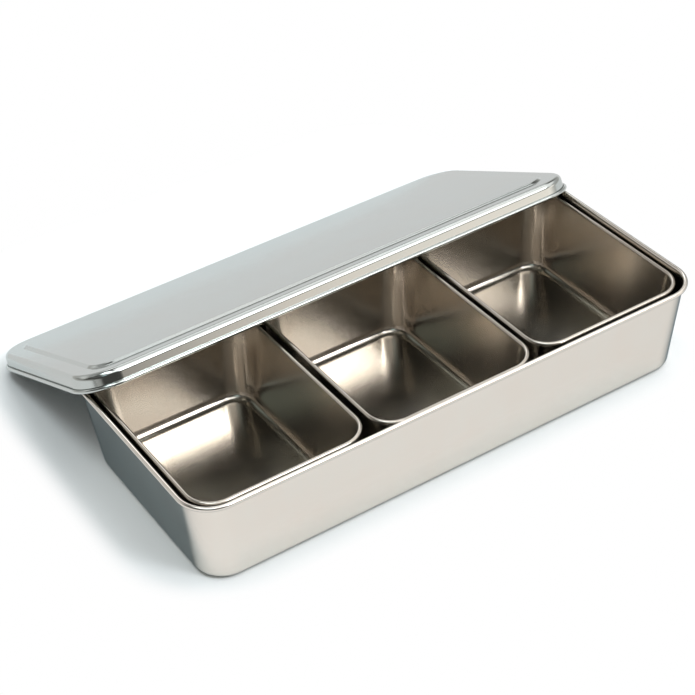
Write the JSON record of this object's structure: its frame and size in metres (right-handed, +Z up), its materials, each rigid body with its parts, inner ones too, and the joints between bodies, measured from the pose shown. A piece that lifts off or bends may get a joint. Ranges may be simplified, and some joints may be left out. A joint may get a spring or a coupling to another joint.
{
  "type": "condiment box",
  "caption": "Low rectangular stainless serving box: loose inner pans with rolled rims stand in a row in a deeper outer pan, and a shallow loose lid leans on its rear rim.",
  "frame": {"origin": "centre of the outer pan's flat base, on the surface that it stands on", "axes": "+X along the long side, -Y towards the open front, +Z up"},
  "size_m": [0.2711, 0.2043, 0.0584],
  "materials": {
    "outer_pan": "satin",
    "inner_pan": "polished satin",
    "lid": "fine satin"
  },
  "bodies": {
    "outer_pan": {"outer_pan": "outer_pan"},
    "inner_pan_left": {"inner_pan_left": "inner_pan"},
    "inner_pan_middle": {"inner_pan_middle": "inner_pan"},
    "inner_pan_right": {"inner_pan_right": "inner_pan"},
    "lid": {"lid": "lid"}
  },
  "joints": [
    {"name": "lid_lift", "type": "slide", "parent": "outer_pan", "child": "lid", "axis": [0, 0, 1], "range_m": [0, 0.15]},
    {"name": "inner_pan_left_lift", "type": "slide", "parent": "outer_pan", "child": "inner_pan_left", "axis": [0, 0, 1], "range_m": [0, 0.06]},
    {"name": "inner_pan_middle_lift", "type": "slide", "parent": "outer_pan", "child": "inner_pan_middle", "axis": [0, 0, 1], "range_m": [0, 0.06]},
    {"name": "inner_pan_right_lift", "type": "slide", "parent": "outer_pan", "child": "inner_pan_right", "axis": [0, 0, 1], "range_m": [0, 0.06]}
  ],
  "couplings": [
    {"joint": "inner_pan_left_lift", "follows": "lid_lift", "ratio": 0.4},
    {"joint": "inner_pan_middle_lift", "follows": "lid_lift", "ratio": 0.4},
    {"joint": "inner_pan_right_lift", "follows": "lid_lift", "ratio": 0.4}
  ]
}
